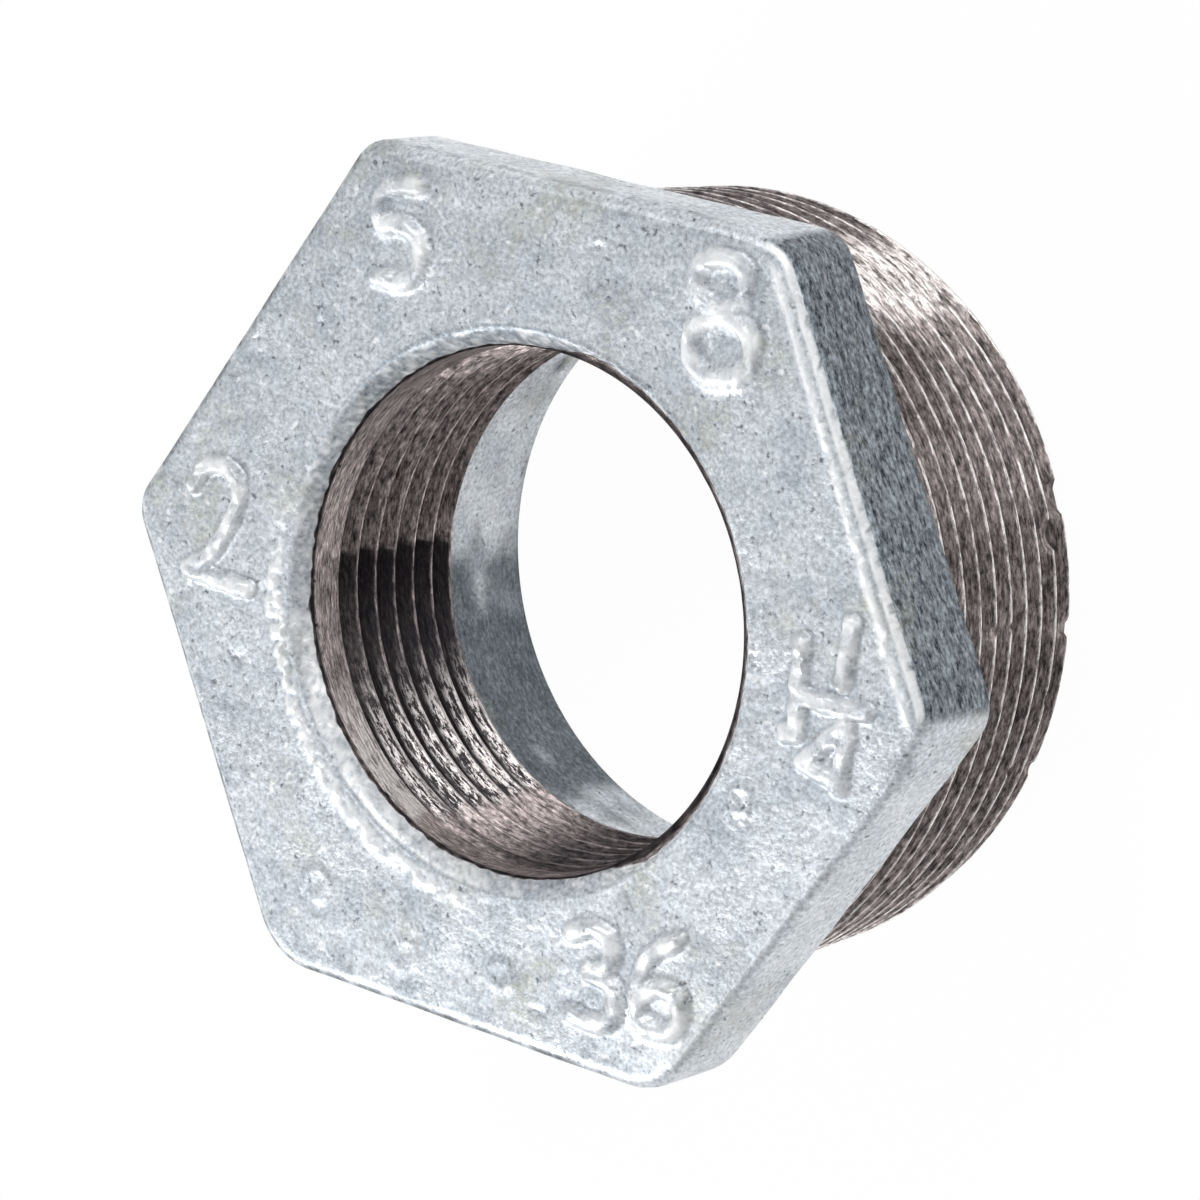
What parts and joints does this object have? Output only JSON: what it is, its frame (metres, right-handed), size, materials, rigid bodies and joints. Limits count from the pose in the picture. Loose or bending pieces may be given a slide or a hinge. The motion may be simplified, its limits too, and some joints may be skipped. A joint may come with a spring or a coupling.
{
  "type": "hex bushing",
  "caption": "Galvanised malleable iron hex bushing: a short reducer with a tapered outside pipe thread, a smaller tapered inside thread and a hexagon head for a wrench",
  "frame": {"origin": "on the common axis of both threads, in the plane of the threaded end", "axes": "+Z runs along the threads' axis from the threaded end to the open face of the hexagon head; two corners of the hexagon point along +X and -X"},
  "size_m": [0.0726, 0.0632, 0.0309],
  "materials": {
    "galvanised_iron": "hot-dip galvanised casting, threads cut bare after the zinc"
  },
  "bodies": {
    "root": {"hex_bushing": "galvanised_iron"}
  },
  "joints": []
}
